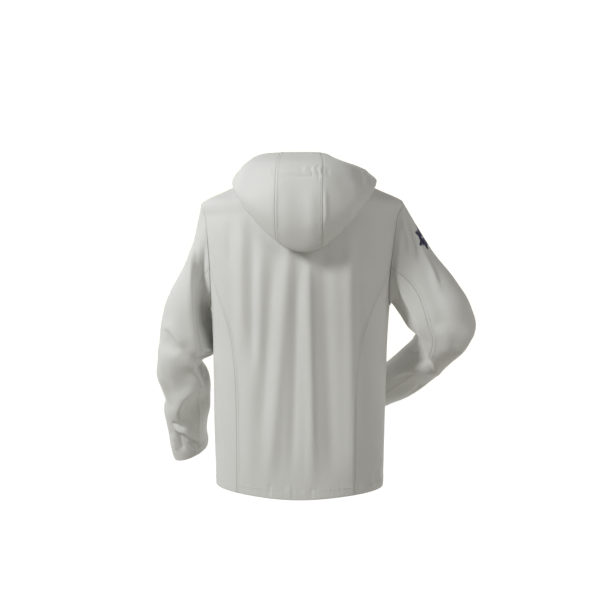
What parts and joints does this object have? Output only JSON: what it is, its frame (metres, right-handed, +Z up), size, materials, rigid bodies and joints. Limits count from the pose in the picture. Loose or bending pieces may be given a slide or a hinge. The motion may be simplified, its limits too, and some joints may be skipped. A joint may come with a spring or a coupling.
{
  "type": "hooded windbreaker",
  "caption": "Hollow hooded windbreaker shell, filled out as worn, hood down on the back, one sleeve bent, with a closed front zip.",
  "frame": {"origin": "middle of the neck opening, level with the points where the shoulder seams reach the neck", "axes": "+Z up out of the neck, -Y the way the wearer faces, +X the wearer's left"},
  "size_m": [0.7207, 0.3989, 0.7442],
  "materials": {
    "shell": "matt, fine plain weave with a faint sheen",
    "zip": "woven tape with moulded teeth",
    "metal": "semi-gloss enamel"
  },
  "bodies": {
    "jacket": {"back": "shell", "side_left": "shell", "side_right": "shell", "front_left": "shell", "front_right": "shell", "sleeve_left_top": "shell", "sleeve_left_under": "shell", "sleeve_right_top": "shell", "sleeve_right_under": "shell", "hood_centre": "shell", "hood_left": "shell", "hood_right": "shell", "zip_chain": "zip", "zip_slider": "metal"},
    "pull": {"zip_pull": "metal"}
  },
  "joints": [
    {"name": "pull_swing", "type": "hinge", "parent": "jacket", "child": "pull", "pos_m": [0, -0.08251, -0.02586], "axis": [-1, 0, 0], "range_deg": [0, 150]}
  ]
}
